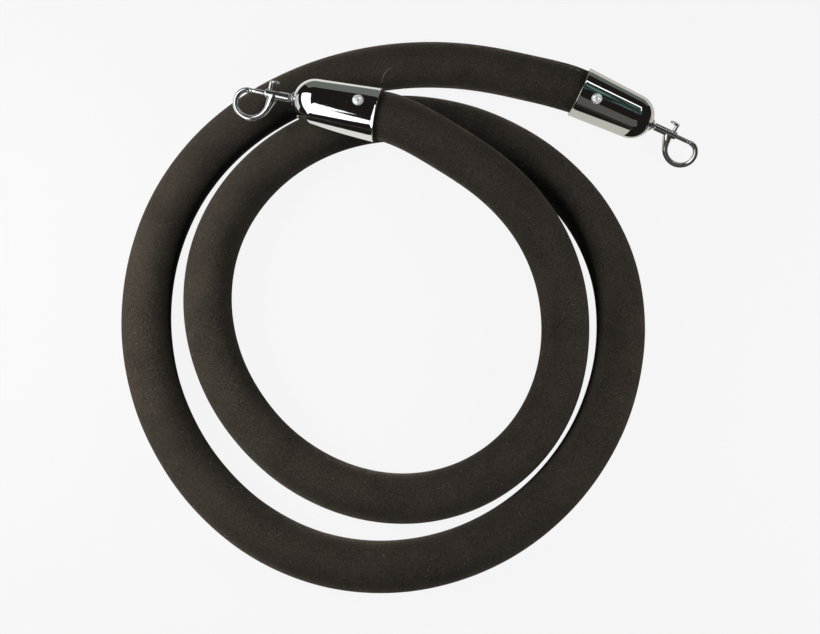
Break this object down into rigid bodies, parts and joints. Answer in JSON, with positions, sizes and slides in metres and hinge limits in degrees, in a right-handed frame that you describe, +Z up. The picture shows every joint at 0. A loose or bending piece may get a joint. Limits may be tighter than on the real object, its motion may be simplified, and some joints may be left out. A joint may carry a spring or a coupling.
{
  "type": "velvet barrier rope",
  "caption": "Velvet-covered barrier rope lying in loose turns, with a round-nosed chrome ferrule and a swivelling bolt snap at each end.",
  "frame": {"origin": "bottom centre of the whole object as it lies", "axes": "+Z up from the surface the rope lies on; the rope lies in the XY plane"},
  "size_m": [0.4628, 0.4575, 0.0842],
  "materials": {
    "velvet": "black cotton velour with a short soft pile",
    "foam_core": "soft cotton and foam filling",
    "plug_wood": "plain turned wood",
    "chrome": "mirror-polished plate",
    "zinc_steel": "zinc-plated steel"
  },
  "bodies": {
    "rope": {"velvet_sleeve": "velvet", "rope_core": "foam_core", "ferrule_a": "chrome", "ferrule_screw_a1": "chrome", "ferrule_screw_a2": "chrome", "end_plug_a": "plug_wood", "nose_cone_a": "chrome", "swivel_stud_a": "zinc_steel", "stud_washer_a": "zinc_steel", "stud_nut_a": "zinc_steel", "ferrule_b": "chrome", "ferrule_screw_b1": "chrome", "ferrule_screw_b2": "chrome", "end_plug_b": "plug_wood", "nose_cone_b": "chrome", "swivel_stud_b": "zinc_steel", "stud_washer_b": "zinc_steel", "stud_nut_b": "zinc_steel"},
    "snap_a": {"snap_body_a": "chrome", "bolt_spring_a": "zinc_steel"},
    "bolt_a": {"latch_bolt_a": "chrome", "thumb_stud_a": "chrome"},
    "snap_b": {"snap_body_b": "chrome", "bolt_spring_b": "zinc_steel"},
    "bolt_b": {"latch_bolt_b": "chrome", "thumb_stud_b": "chrome"}
  },
  "joints": [
    {"name": "snap_a_swivel", "type": "hinge", "parent": "rope", "child": "snap_a", "pos_m": [0.1242, 0.1952, 0.022], "axis": [0.9431, -0.3284, -0.0523], "continuous": true},
    {"name": "bolt_a_slide", "type": "slide", "parent": "snap_a", "child": "bolt_a", "axis": [-0.9431, 0.3284, 0.0523], "range_m": [0, 0.0072], "stiffness_N_per_m": 400, "springref_m": -0.004, "deforming": ["bolt_spring_a"]},
    {"name": "snap_b_swivel", "type": "hinge", "parent": "rope", "child": "snap_b", "pos_m": [-0.0427, 0.1364, 0.061], "axis": [-0.995, 0.0993, 0.0087], "continuous": true},
    {"name": "bolt_b_slide", "type": "slide", "parent": "snap_b", "child": "bolt_b", "axis": [0.995, -0.0993, -0.0087], "range_m": [0, 0.0072], "stiffness_N_per_m": 400, "springref_m": -0.004, "deforming": ["bolt_spring_b"]}
  ]
}
